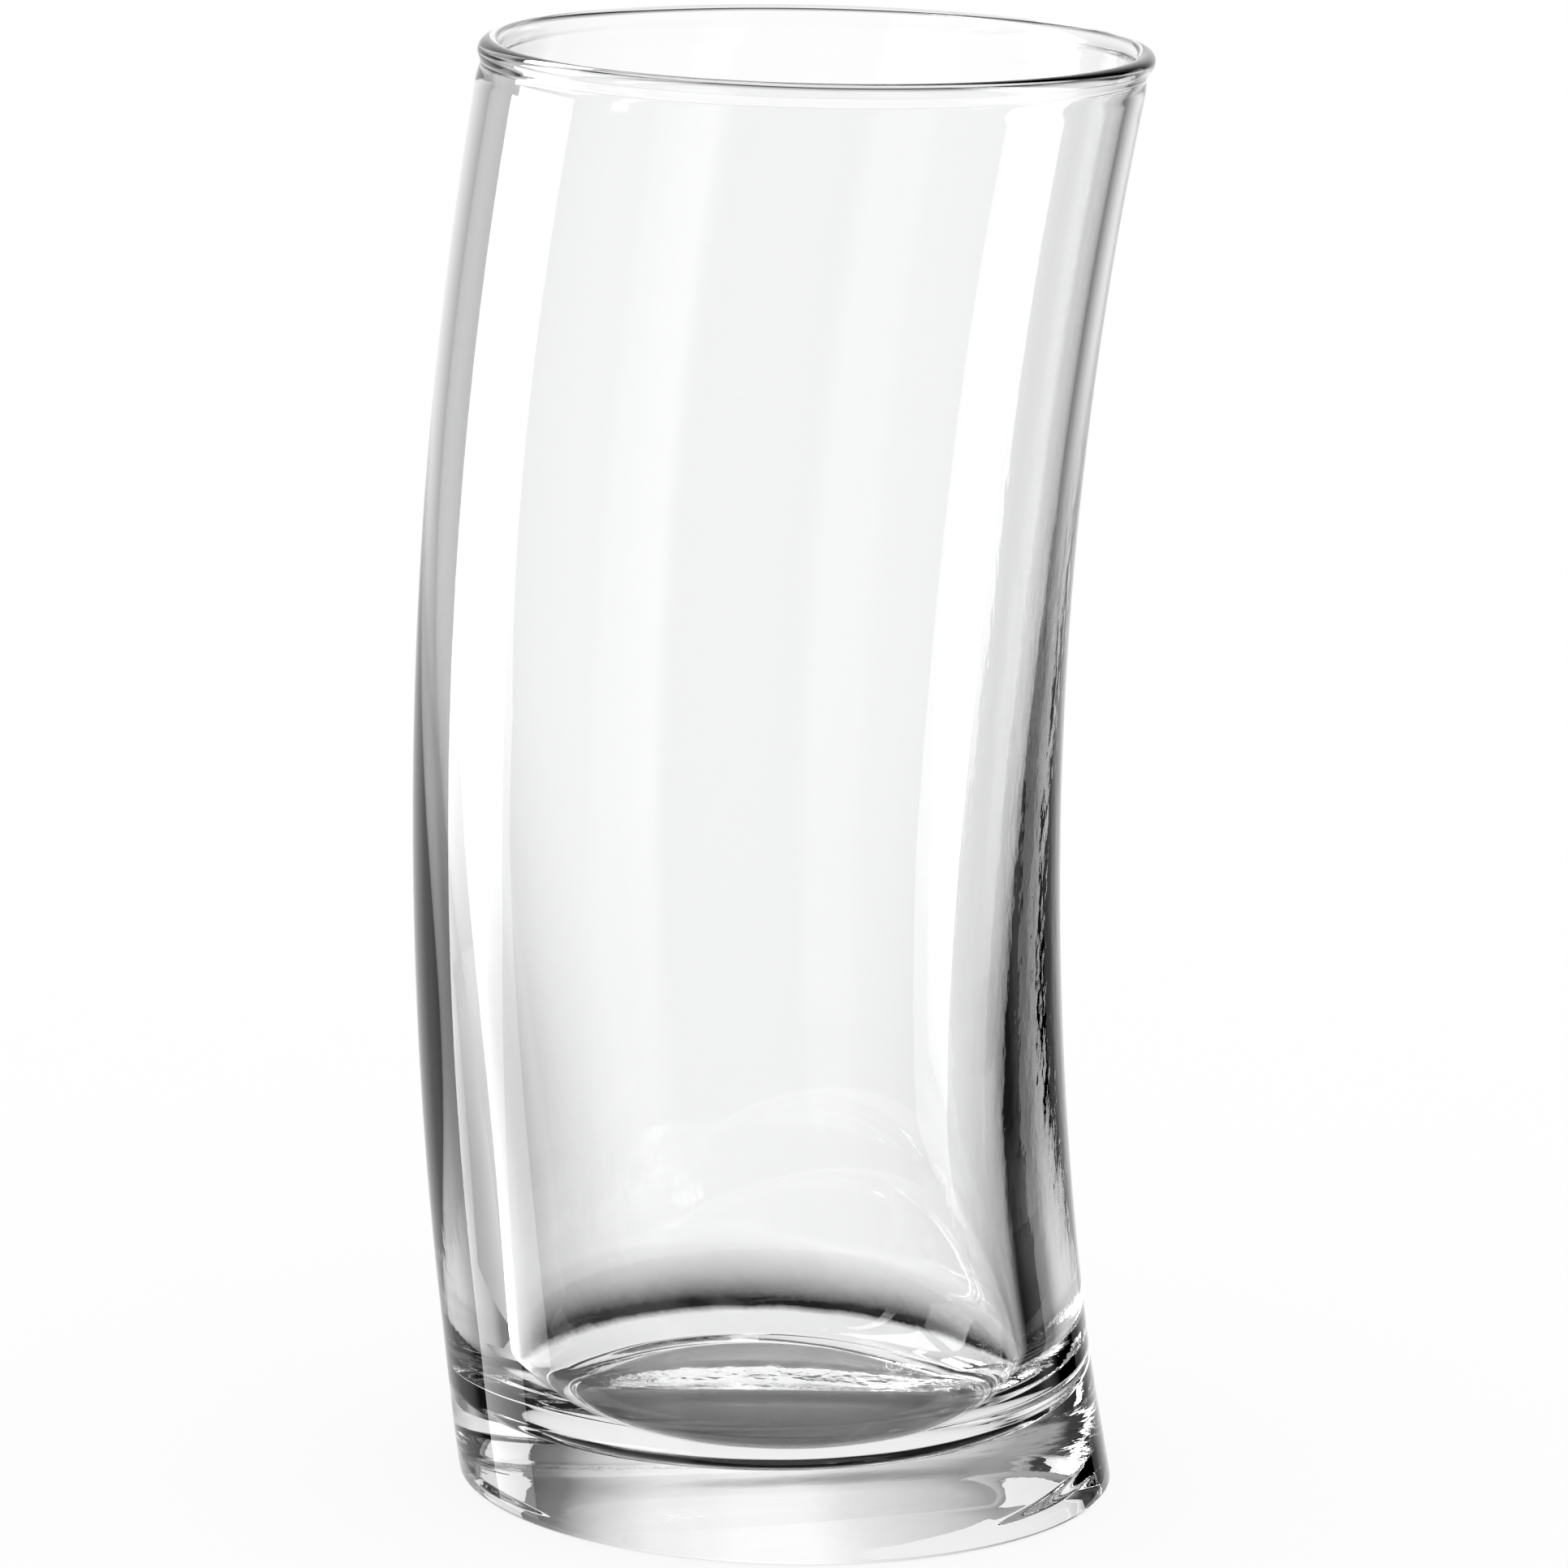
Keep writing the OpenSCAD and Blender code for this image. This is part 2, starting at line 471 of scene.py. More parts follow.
class Graph:
    """Node tree of a material or of the world, with short calls for the nodes used here."""

    # Counts of surfaces are whole, so each limit lies between two of them
    MIRRORED = 0.5
    BOTH_WALLS = 3.5

    def __init__(self, tree: bpy.types.NodeTree) -> None:
        """Takes over a tree, which keeps the nodes that it has."""
        self.tree = tree

    def node(self, kind: str, **settings: str) -> bpy.types.Node:
        """New node.

        Args:
            kind: Blender's name for the kind of node.
            settings: Values of the node's own settings, by name.

        Returns:
            The node.
        """
        made = self.tree.nodes.new(kind)
        for name, value in settings.items():
            setattr(made, name, value)
        return made

    def feed(self, socket: Socket, value: Socket | float | tuple[float, ...]) -> None:
        """Links a socket to another one, or sets its value.

        Args:
            socket: Input of a node.
            value: Output to link to it, or its own number or colour.
        """
        if isinstance(value, Socket):
            self.tree.links.new(value, socket)
        else:
            socket.default_value = value

    def maths(self, operation: str, *values: Socket | float) -> Socket:
        """Result of one operation on numbers.

        Args:
            operation: Blender's name for the operation.
            values: Numbers or outputs that it works on, in order.

        Returns:
            Output with the result.
        """
        made = self.node("ShaderNodeMath", operation=operation)
        for socket, value in zip(made.inputs, values):
            self.feed(socket, value)
        return made.outputs[0]

    def span(self, value: Socket, low: float, high: float) -> Socket:
        """Share of the way from one number to another, held between 0 and 1.

        Args:
            value: Output to measure.
            low: Number at which the share is 0.
            high: Number at which it is 1.

        Returns:
            Output with the share.
        """
        made = self.node("ShaderNodeMapRange")
        for name, number in (("Value", value), ("From Min", low), ("From Max", high)):
            self.feed(made.inputs[name], number)
        return made.outputs["Result"]

    def ramp(self, share: Socket, stops: list[tuple[float, float]]) -> Socket:
        """Level that runs straight from stop to stop.

        Args:
            share: Place on the ramp, from 0 to 1.
            stops: Place and level of each stop, in order.

        Returns:
            Output with the level.
        """
        made = self.node("ShaderNodeValToRGB")
        elements = made.color_ramp.elements
        elements.remove(elements[-1])
        for i, (place, level) in enumerate(stops):
            stop = elements[0] if i == 0 else elements.new(place)
            stop.position = place
            stop.color = (level, level, level, 1.0)
        self.feed(made.inputs["Fac"], share)
        return made.outputs["Color"]

    def shader(self, kind: str, **values: Socket | float | tuple[float, ...]) -> Socket:
        """New shader node.

        Args:
            kind: Blender's name for the kind of node.
            values: Its inputs, by name.

        Returns:
            Its output.
        """
        made = self.node(kind)
        for name, value in values.items():
            self.feed(made.inputs[name], value)
        return made.outputs[0]

    def mix(self, share: Socket | float, first: Socket, second: Socket) -> Socket:
        """Mix of two shaders.

        Args:
            share: Share of the second one.
            first: Output of the first shader.
            second: Output of the second shader.

        Returns:
            Output of the mix.
        """
        made = self.node("ShaderNodeMixShader")
        for socket, value in zip(made.inputs, (share, first, second)):
            self.feed(socket, value)
        return made.outputs[0]

    def straight_through(self) -> tuple[Socket, Socket]:
        """Whether what is seen is seen straight through the glass.

        Returns:
            Whether it was never mirrored, and whether it also passed both walls, so four surfaces.
        """
        path = self.node("ShaderNodeLightPath").outputs
        straight = self.maths("LESS_THAN", path["Glossy Depth"], self.MIRRORED)
        walls = self.maths("GREATER_THAN", path["Transmission Depth"], self.BOTH_WALLS)
        return straight, self.maths("MULTIPLY", straight, walls)

    def seen_by(self) -> tuple[Socket, Socket]:
        """Who looks.

        Returns:
            Whether the camera does, and whether something that mirrors or bends light does.
        """
        path = self.node("ShaderNodeLightPath").outputs
        in_glass = self.maths("MAXIMUM", path["Is Glossy Ray"], path["Is Transmission Ray"])
        return path["Is Camera Ray"], in_glass


@dataclass(frozen=True)
class ClearGlass:
    """Clear soda-lime glass with the fine wrinkles that a cool mould leaves.

    Args:
        name: Name of the material.
        colour: Colour that light takes on at each surface.
        ior: How strongly the glass bends light.
        roughness: Roughness of the fire-polished surface.
        wrinkle_scale: Fineness of the wrinkles, per metre.
        wrinkle_stretch: Their fineness upwards, as a share of that across.
        wrinkle_detail: Number of finer layers in them.
        wrinkle_depth: Their depth at full strength.
    """

    name: str = "clear_glass"
    colour: tuple[float, float, float] = (0.984, 0.986, 0.986)
    ior: float = 1.52
    roughness: float = 0.0
    wrinkle_scale: float = 400.0
    wrinkle_stretch: float = 0.45
    wrinkle_detail: float = 3.0
    wrinkle_depth: float = 0.03 * MM

    def material(self) -> bpy.types.Material:
        """Node material: refracting glass whose normal is stirred by noise where the mould left wrinkles.

        Returns:
            The new material.
        """
        made = bpy.data.materials.new(self.name)
        made.use_nodes = True
        graph = Graph(made.node_tree)
        shader = made.node_tree.nodes["Principled BSDF"].inputs
        shader["Base Color"].default_value = (*self.colour, 1.0)
        shader["Transmission Weight"].default_value = 1.0
        shader["IOR"].default_value = self.ior
        shader["Roughness"].default_value = self.roughness
        noise = graph.node("ShaderNodeTexNoise")
        noise.inputs["Scale"].default_value = self.wrinkle_scale
        noise.inputs["Detail"].default_value = self.wrinkle_detail
        mapping = graph.node("ShaderNodeMapping")
        mapping.inputs["Scale"].default_value = (1.0, 1.0, self.wrinkle_stretch)
        graph.feed(mapping.inputs["Vector"], graph.node("ShaderNodeTexCoord").outputs["Object"])
        graph.feed(noise.inputs["Vector"], mapping.outputs["Vector"])
        strength = graph.node("ShaderNodeAttribute", attribute_name=GlassBody.WRINKLE)
        height = graph.maths("MULTIPLY", noise.outputs["Fac"], strength.outputs["Fac"])
        bump = graph.node("ShaderNodeBump")
        bump.inputs["Distance"].default_value = self.wrinkle_depth
        graph.feed(bump.inputs["Height"], height)
        graph.feed(shader["Normal"], bump.outputs["Normal"])
        return made


@dataclass(frozen=True)
class GlassBody:
    """The whole glass as one closed skin, since its zones are one piece of glass.

    Args:
        base: The heavy base.
        wall: The bent wall.
        rim: The rim.
        bend: Arc of the upright axis.
        sides: Points round the glass.
    """

    WRINKLE = "wrinkle"
    RIPPLES = {
        Zone.UNDERSIDE: Ripple(0.003 * MM, 1.2 * MM, 3.0 * MM, seed=3),
        Zone.OUTSIDE: Ripple(0.0002 * MM, 10.0 * MM, 30.0 * MM, seed=5),
        Zone.INSIDE: Ripple(0.001 * MM, 14.0 * MM, 40.0 * MM, seed=7),
        Zone.FLOOR: Ripple(0.006 * MM, 5.0 * MM, 14.0 * MM, seed=11),
    }
    WRINKLES = {
        Zone.UNDERSIDE: 6.0,
        Zone.OUTSIDE: 1.5,
        Zone.LIP: 0.0,
        Zone.INSIDE: 0.0,
        Zone.FLOOR: 0.1,
    }
    # Heights between which the wall is wrinkled, and shares of them over which that eases in and out
    WRINKLED = (22.0 * MM, 110.0 * MM)
    WRINKLED_EASE = (0.4, 0.3)
    # Cosine of the angle at which wrinkles set in on the hollow side, and the span to full strength
    HOLLOW_SIDE = (-0.7, 0.22)
    # How far the underside's roughness reaches round from the back
    BACK_REACH = 0.4

    base: Base
    wall: Wall
    rim: Rim
    bend: Bend
    sides: int = 300

    @property
    def stretches(self) -> list[Stretch]:
        """Runs of the outline, from the middle of the underside round to the middle of the floor."""
        return [
            self.base.underside(),
            self.base.side(),
            self.wall.outside().without_first(),
            self.rim.lip().without_first(),
            self.wall.inside().without_first(),
            self.base.corner().without_first(),
            self.base.floor().without_first(),
        ]

    def column(self, name: str) -> np.ndarray:
        """One field of all the stretches, joined, as a column."""
        return np.concatenate([getattr(s, name) for s in self.stretches])[:, None]

    def rings(self) -> tuple[np.ndarray, np.ndarray]:
        """Points of every ring, with each zone's ripple pushed along the outline's normal.

        The normal is the outline's run, by differences from ring to ring, turned by a right angle. The
        dish is pressed upwards into the underside, and nothing lies below the table.

        Returns:
            The points, ring by ring, and the strength of the wrinkles at each of them.
        """
        r, z, shift, uneven = (self.column(n) for n in ("r", "z", "shift", "uneven"))
        zones = np.concatenate([np.full(len(s.r), s.zone.value) for s in self.stretches])
        angle = np.arange(self.sides)[None, :] * (math.tau / self.sides)
        points = self.bend.place(r, np.broadcast_to(z, (len(z), self.sides)), angle, shift)
        run_r, run_z = np.gradient(r[:, 0]), np.gradient(z[:, 0])
        length = np.hypot(run_r, run_z)
        normal_r, normal_z = run_z / length, -run_r / length
        push = np.zeros(points.shape[:2])
        under = zones == Zone.UNDERSIDE.value
        uneven = np.repeat(uneven, self.sides, axis=1)
        uneven[under] *= self.base.roughness(points[under])
        pressed = np.zeros(points.shape[:2])
        pressed[under] = self.base.dish(points[under])
        back = self.back_share(angle)
        for zone, ripple in self.RIPPLES.items():
            rows = zones == zone.value
            push[rows] = ripple.height(points[rows]) * (back if zone is Zone.UNDERSIDE else 1.0)
        moved_r = r + push * uneven * normal_r[:, None]
        moved_z = np.maximum(z + pressed + push * uneven * normal_z[:, None], 0.0)
        strength = np.array([self.WRINKLES[zone] for zone in Zone])[zones][:, None] * uneven
        return self.bend.place(moved_r, moved_z, angle, shift), strength * self.mould_share(angle, z)

    def back_share(self, angle: np.ndarray) -> np.ndarray:
        """Share of the underside's roughness at an angle, most at the back: an eased sine."""
        return ease(self.BACK_REACH + np.sin(angle))

    def mould_share(self, angle: np.ndarray, z: np.ndarray) -> np.ndarray:
        """Share of the wrinkles: eased in on the hollow side of the bend, and towards mid height.

        Args:
            angle: Angles round the axis, 0 at the bulge, as a row.
            z: Heights, as a column.

        Returns:
            Array of shares, ring by ring.
        """
        low, high = self.WRINKLED
        ease_in, ease_out = self.WRINKLED_EASE
        side, side_span = self.HOLLOW_SIDE
        across = ease((side - np.cos(angle)) / side_span)
        up = ease((z - low) / (ease_in * low)) * ease((high - z) / (ease_out * high))
        return np.where(z < low, self.back_share(angle), up * across)

    def build(self) -> bpy.types.Object:
        """Closed mesh: four-sided faces between the rings, and a fan of three-sided ones at either end.

        Returns:
            The new object, in the scene.
        """
        points, strength = self.rings()
        count, sides = points.shape[:2]
        centre = points.mean(axis=1)
        verts = np.concatenate([centre[:1], points.reshape(-1, 3), centre[-1:]])
        ring = 1 + np.arange(count)[:, None] * sides + np.arange(sides)[None, :]
        after = np.roll(ring, -1, axis=1)
        quads = np.stack([ring[:-1], ring[1:], after[1:], after[:-1]], axis=-1).reshape(-1, 4)
        first = np.stack([np.zeros(sides, int), ring[0], after[0]], axis=-1)
        last = np.stack([np.full(sides, len(verts) - 1), after[-1], ring[-1]], axis=-1)
        mesh = bpy.data.meshes.new("glass")
        mesh.from_pydata(verts.tolist(), [], quads.tolist() + first.tolist() + last.tolist())
        mesh.polygons.foreach_set("use_smooth", np.ones(len(mesh.polygons), bool))
        wrinkle = np.concatenate([strength[:1, 0], strength.ravel(), strength[-1:, 0]])
        layer = mesh.attributes.new(self.WRINKLE, "FLOAT", "POINT")
        layer.data.foreach_set("value", wrinkle.astype(np.float32))
        mesh.validate()
        mesh.update()
        made = bpy.data.objects.new("glass", mesh)
        bpy.context.collection.objects.link(made)
        return made

    def dress(self, made: bpy.types.Object, finish: ClearGlass) -> None:
        """Gives the glass its finish and lets it stand for the three solids of the frame.

        Args:
            made: The glass's object.
            finish: The finish to give it.
        """
        made.data.materials.append(finish.material())
        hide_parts("base", "wall", "rim")
        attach(made, BODY)


def glass_from_frame() -> GlassBody:
    """Works out the glass from the frame's boxes: the sagitta of the wall gives the bend's radius.

    Returns:
        The glass, ready to build.
    """
    base_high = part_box("base")[1]
    wall_low, wall_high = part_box("wall")
    rim_low, rim_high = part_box("rim")
    body_r = (wall_high.y - wall_low.y) / 2
    half_height = rim_high.z / 2
    sagitta = -wall_low.x - body_r
    bend = Bend(rim_high.z, (sagitta**2 + half_height**2) / (2 * sagitta))
    return GlassBody(
        Base(body_r, base_high.z),
        Wall(body_r, wall_low.z, rim_low.z),
        Rim(body_r, rim_low.z, rim_high.z),
        bend,
    )


@dataclass(frozen=True)
class Panel:
    """Upright panel of the studio, seen only in the glass.

    Args:
        start: Left edge, in degrees from straight behind the glass towards the right.
        end: Right edge.
        level: Brightness, where 1 is white.
    """

    start: float
    end: float
    level: float


@dataclass(frozen=True)
class Tier:
    """How much of the panels' light comes from one height above or below the glass.

    Args:
        rise: Degrees above level.
        share: Share of the panels' brightness.
    """

    rise: float
    share: float

    @property
    def place(self) -> float:
        """Place on a ramp from straight down to straight up."""
        return rise_share(self.rise)


def rise_share(rise: float) -> float:
    """Height of a direction from 0, straight down, to 1, straight up: half of its sine plus one."""
    return 0.5 + 0.5 * math.sin(math.radians(rise))


@dataclass(frozen=True)
class LitSheet:
    """Sheet round the glass that gives light of its own, seen only in what mirrors or bends light.

    Args:
        name: Name of its object.
        points: Corners of its faces.
        faces: Corner numbers of each face.
        levels: Brightness at each corner, where 1 is white.
    """

    LEVEL = "level"

    name: str
    points: np.ndarray
    faces: np.ndarray
    levels: np.ndarray

    def build(self) -> None:
        """Mesh of the faces, whose light runs evenly from corner to corner."""
        mesh = bpy.data.meshes.new(self.name)
        mesh.from_pydata(self.points.tolist(), [], self.faces.tolist())
        layer = mesh.attributes.new(self.LEVEL, "FLOAT", "POINT")
        layer.data.foreach_set("value", self.levels.astype(np.float32))
        mesh.materials.append(self.material())
        made = bpy.data.objects.new(self.name, mesh)
        bpy.context.collection.objects.link(made)
        made.visible_camera = False
        made.visible_diffuse = False
        made.visible_shadow = False

    def material(self) -> bpy.types.Material:
        """Light as strong as the level of the sheet, which what is seen through both walls passes by.

        Returns:
            The new material.
        """
        made = bpy.data.materials.new(self.name)
        made.use_nodes = True
        made.node_tree.nodes.clear()
        graph = Graph(made.node_tree)
        level = graph.node("ShaderNodeAttribute", attribute_name=self.LEVEL).outputs["Fac"]
        out = graph.node("ShaderNodeOutputMaterial")
        lit = graph.shader("ShaderNodeEmission", Strength=level)
        clear = graph.shader("ShaderNodeBsdfTransparent")
        graph.feed(out.inputs["Surface"], graph.mix(graph.straight_through()[1], lit, clear))
        return made


@dataclass(frozen=True)
class Rung:
    """One height of a softbox.

    Args:
        z: The height.
        front: X and Y of the front edge there.
        levels: Brightness at the back edge and at the front edge, where 1 is white.
    """

    z: float
    front: tuple[float, float]
    levels: tuple[float, float]


@dataclass(frozen=True)
class Softbox:
    """Upright light on the left, near enough that both sides of the glass show it at their own angle.

    Args:
        name: Name of its object.
        back: X and Y of its back edge.
        rungs: Its heights, from the lowest up.
    """

    name: str
    back: tuple[float, float]
    rungs: tuple[Rung, ...]

    def sheet(self) -> LitSheet:
        """Upright faces, one above the other, between the rungs.

        Returns:
            The sheet.
        """
        points = np.array([(*edge, rung.z) for rung in self.rungs for edge in (self.back, rung.front)])
        low = 2 * np.arange(len(self.rungs) - 1)
        faces = np.stack([low, low + 1, low + 3, low + 2], axis=-1)
        return LitSheet(self.name, points, faces, np.array([rung.levels for rung in self.rungs]).ravel())


@dataclass(frozen=True)
class Card:
    """Card that curves round a part of the glass and shades or lightens what its edges show.

    Args:
        name: Name of its object.
        start: First edge, in degrees from straight behind the glass towards the right.
        end: Last edge.
        low: Height of its lower edge.
        high: Height of its upper edge.
        levels: Brightness at the first edge and at the last, where 1 is white.
        low_share: Share of that brightness at the lower edge.
        radius: Distance from the middle of the glass.
        steps: Faces along it.
    """

    name: str
    start: float
    end: float
    low: float
    high: float
    levels: tuple[float, float] = (0.0, 0.0)
    low_share: float = 1.0
    radius: float = 100.0 * MM
    steps: int = 24

    def sheet(self) -> LitSheet:
        """Band of upright faces on a circle: radius times the sine and the cosine of the turn.

        Returns:
            The sheet.
        """
        turn = np.radians(np.linspace(self.start, self.end, self.steps + 1))
        edge = np.stack([self.radius * np.sin(turn), self.radius * np.cos(turn)], axis=-1)
        points = np.concatenate([np.insert(edge, 2, z, axis=1) for z in (self.low, self.high)])
        k = np.arange(self.steps)
        faces = np.stack([k, k + 1, k + self.steps + 2, k + self.steps + 1], axis=-1)
        along = np.linspace(*self.levels, self.steps + 1)
        return LitSheet(self.name, points, faces, np.concatenate([along * self.low_share, along]))


@dataclass(frozen=True)
class Studio:
    """White studio: pale floor, even light, and panels round the glass that only the glass shows.

    Levels are brightnesses, where 1 is white. A direction's Y is 1 straight behind the glass and -1
    straight before it.

    Args:
        panels: Panels all round the glass.
        behind: Share of the panels' light by height, behind the glass.
        before: The same before the glass.
        ambient: Level of the light on the floor.
        overhead: Level of the light overhead.
        overhead_rise: Degrees above level between which that light sets in.
        back_y: Direction's Y between which before turns into behind.
        open_level: Least level of what is seen straight through the glass.
        open_side_y: Direction's Y between which that sets in through both walls.
        open_front_y: Direction's Y between which that sets in through any glass.
        table: Level of the table near the glass and far below it.
        table_rise: Degrees above level between which the far table sets in.
        floor_side: Side of the floor.
        floor_gap: How far the floor lies under the glass.
        floor_colour: Paleness of the floor.
        shadow_share: Share of the shadow that the camera sees on the floor.
        painted_shadow_r: Distances between which the painted shadow under the glass turns into the table.
        painted_shadow_y: Place of that painted shadow's middle, behind the axis.
        painted_shadow_level: Level of that painted shadow.
        table_r: Distance past which the glass shows the surround and not the table.
    """

    panels: tuple[Panel, ...] = (
        Panel(-180.0, -155.0, 0.15),
        Panel(-150.0, -130.0, 0.7),
        Panel(-125.0, -85.0, 0.35),
        Panel(-75.0, -52.0, 0.05),
        Panel(-46.0, -44.0, 0.35),
        Panel(-40.0, -34.0, 0.4),
        Panel(-26.0, -26.0, 0.6),
        Panel(-10.5, -10.5, 0.86),
        Panel(-4.0, 4.0, 1.07),
        Panel(12.0, 15.0, 0.95),
        Panel(23.0, 23.0, 0.7),
        Panel(28.0, 28.0, 0.45),
        Panel(32.0, 32.0, 0.22),
        Panel(37.0, 37.0, 0.16),
        Panel(42.5, 42.5, 0.1),
        Panel(44.0, 54.0, 0.0),
        Panel(62.0, 64.0, 0.5),
        Panel(69.0, 90.0, 0.12),
        Panel(110.0, 180.0, 0.15),
    )
    behind: tuple[Tier, ...] = (
        Tier(-35.0, 0.0),
        Tier(-28.0, 0.55),
        Tier(-21.0, 1.0),
        Tier(14.0, 1.0),
        Tier(20.0, 0.9),
        Tier(32.0, 0.85),
        Tier(42.0, 0.0),
    )
    before: tuple[Tier, ...] = (
        Tier(-35.0, 0.0),
        Tier(-28.0, 0.55),
        Tier(-21.0, 1.0),
        Tier(12.0, 1.0),
        Tier(21.0, 0.12),
        Tier(60.0, 0.08),
    )
    ambient: float = 1.0
    overhead: float = 1.05
    overhead_rise: tuple[float, float] = (52.0, 58.0)
    back_y: tuple[float, float] = (-0.14, -0.04)
    open_level: float = 0.9
    open_side_y: tuple[float, float] = (0.4, 0.25)
    open_front_y: tuple[float, float] = (-0.1, -0.3)
    table: float = 0.95
    table_rise: tuple[float, float] = (-37.3, -40.2)
    floor_side: float = 6.0
    floor_gap: float = 0.1 * MM
    floor_colour: float = 0.99
    shadow_share: float = 0.12
    # Painted shadow under the glass: a patch of the floor that the glass shows dark, whatever the light
    painted_shadow_r: tuple[float, float] = (24.0 * MM, 24.6 * MM)
    painted_shadow_y: float = 2.0 * MM
    painted_shadow_level: float = 0.0
    table_r: float = 34.0 * MM

    @property
    def brightest(self) -> float:
        """Level of the brightest panel."""
        return max(p.level for p in self.panels)

    def turn_stops(self) -> list[tuple[float, float]]:
        """Ramp stops at each panel's edges, as shares of a full turn and of the brightest level."""
        edges = {(a, p.level) for p in self.panels for a in (p.start, p.end)}
        return [(a / 360.0 + 0.5, level / self.brightest) for a, level in sorted(edges)]

    def surround(self, graph: Graph) -> Socket:
        """Level of the studio in a direction, as the glass shows it.

        The panels' level for the turn round the glass, times the tiers' share for the rise, plus the
        light overhead and the pale table far below. What is seen straight through both walls towards the
        sides, or straight through any glass towards the front, is never less than the open level.

        Args:
            graph: The world's node tree.

        Returns:
            Socket of the level.
        """
        axes = graph.node("ShaderNodeSeparateXYZ")
        graph.feed(axes.inputs["Vector"], graph.node("ShaderNodeTexCoord").outputs["Generated"])
        x, y, z = axes.outputs
        turn = graph.span(graph.maths("ARCTAN2", x, y), -math.pi, math.pi)
        panels = graph.maths("MULTIPLY", graph.ramp(turn, self.turn_stops()), self.brightest)
        rise = graph.span(z, -1.0, 1.0)
        back, front = (
            graph.ramp(rise, [(tier.place, tier.share) for tier in tiers])
            for tiers in (self.behind, self.before)
        )
        is_back = graph.span(y, *self.back_y)
        front_part = graph.maths("MULTIPLY", front, graph.maths("SUBTRACT", 1.0, is_back))
        share = graph.maths("MULTIPLY_ADD", back, is_back, front_part)
        roof = graph.span(rise, *(rise_share(a) for a in self.overhead_rise))
        below = graph.span(rise, *(rise_share(a) for a in self.table_rise))
        level = graph.maths("MULTIPLY", panels, share)
        level = graph.maths("MULTIPLY_ADD", roof, self.overhead, level)
        level = graph.maths("MULTIPLY_ADD", graph.maths("MULTIPLY", below, is_back), self.table, level)
        straight, both_walls = graph.straight_through()
        sides = graph.maths("MULTIPLY", both_walls, graph.span(y, *self.open_side_y))
        ahead = graph.maths("MULTIPLY", straight, graph.span(y, *self.open_front_y))
        open_share = graph.maths("MAXIMUM", sides, ahead)
        return graph.maths("MAXIMUM", level, graph.maths("MULTIPLY", open_share, self.open_level))

    def world(self) -> None:
        """White for the camera, the surround for what the glass shows, even light for the rest."""
        world = bpy.data.worlds.new("studio")
        bpy.context.scene.world = world
        world.use_nodes = True
        world.node_tree.nodes.clear()
        graph = Graph(world.node_tree)
        camera, glass = graph.seen_by()
        even, shown, white = (
            graph.shader("ShaderNodeBackground", Color=WHITE, Strength=level)
            for level in (self.ambient, self.surround(graph), 1.0)
        )
        out = graph.node("ShaderNodeOutputWorld")
        graph.feed(out.inputs["Surface"], graph.mix(camera, graph.mix(glass, even, shown), white))

    def floor(self) -> None:
        """Pale floor: white with a faint shadow for the camera, and a painted shadow where the glass
        stands, which only the glass shows.
        """
        half = self.floor_side / 2
        mesh = bpy.data.meshes.new("floor")
        corners = [(-half, -half), (half, -half), (half, half), (-half, half)]
        mesh.from_pydata([(x, y, -self.floor_gap) for x, y in corners], [], [(0, 1, 2, 3)])
        made = bpy.data.objects.new("floor", mesh)
        bpy.context.collection.objects.link(made)
        mesh.materials.append(self.floor_material())

    def floor_material(self) -> bpy.types.Material:
        """Material of the floor: the glass shows it with a painted shadow in the middle, pale near by, and
        clear past that.

        Through the glass's floor alone, as from above, the middle is pale too.

        Returns:
            The new material.
        """
        made = bpy.data.materials.new("pale_floor")
        made.use_nodes = True
        made.node_tree.nodes.clear()
        graph = Graph(made.node_tree)
        camera, glass = graph.seen_by()
        # Painted shadow: near the middle under the glass, the floor that the glass shows gives light at
        # the patch's dark level, however it is lit
        away = graph.node("ShaderNodeVectorMath", operation="DISTANCE")
        away.inputs[1].default_value = (0.0, self.painted_shadow_y, 0.0)
        graph.feed(away.inputs[0], graph.node("ShaderNodeTexCoord").outputs["Object"])
        lit = graph.span(away.outputs["Value"], *self.painted_shadow_r)
        level = graph.maths("MULTIPLY_ADD", lit, self.table - self.painted_shadow_level, self.painted_shadow_level)
        straight, both_walls = graph.straight_through()
        from_above = graph.maths("SUBTRACT", straight, both_walls)
        level = graph.maths("MAXIMUM", level, graph.maths("MULTIPLY", from_above, self.open_level))
        pale = graph.shader("ShaderNodeBsdfDiffuse", Color=(*[self.floor_colour] * 3, 1.0))
        white = graph.shader("ShaderNodeEmission", Strength=1.0)
        near = graph.shader("ShaderNodeEmission", Strength=level)
        clear = graph.shader("ShaderNodeBsdfTransparent")
        past = graph.maths("GREATER_THAN", away.outputs["Value"], self.table_r)
        in_glass = graph.mix(glass, pale, graph.mix(past, near, clear))
        shown = graph.mix(self.shadow_share, white, pale)
        out = graph.node("ShaderNodeOutputMaterial")
        graph.feed(out.inputs["Surface"], graph.mix(camera, in_glass, shown))
        return made


